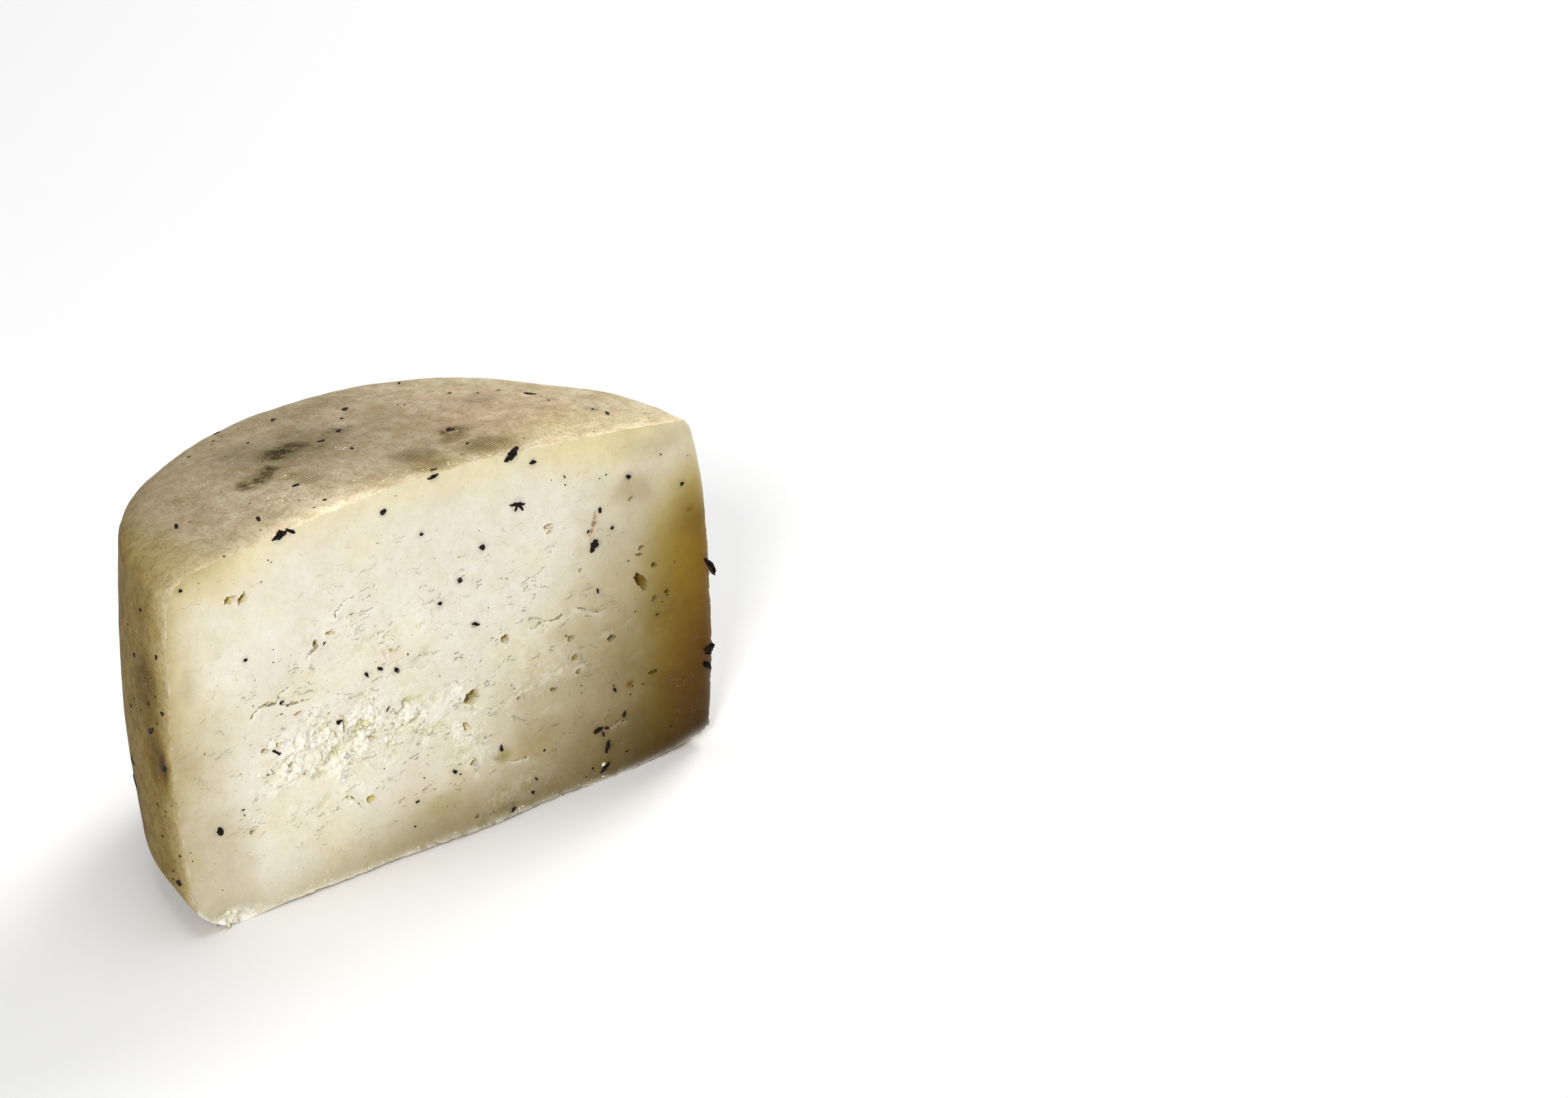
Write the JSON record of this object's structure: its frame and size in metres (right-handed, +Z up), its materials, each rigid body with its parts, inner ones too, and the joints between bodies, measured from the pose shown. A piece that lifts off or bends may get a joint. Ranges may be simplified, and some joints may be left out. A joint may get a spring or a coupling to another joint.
{
  "type": "half wheel of truffle sheep cheese",
  "caption": "Half wheel of aged sheep cheese with black truffle, cut down the middle, its cut face showing chips, eyes and a thin pressed rind.",
  "frame": {"origin": "middle of the bounding box on the flat base that the cheese stands on", "axes": "+X along the cut, towards the end with the higher, steeper shoulder; the cut face looks along -Y; +Z up"},
  "size_m": [0.1504, 0.077, 0.0934],
  "materials": {
    "cheese": "cream paste, greasy and faintly shiny where cut, with a dull grey-tan rind",
    "truffle": "black, broken and dull with a few shiny facets"
  },
  "bodies": {
    "root": {"cheese_half_wheel": "cheese"}
  },
  "joints": []
}
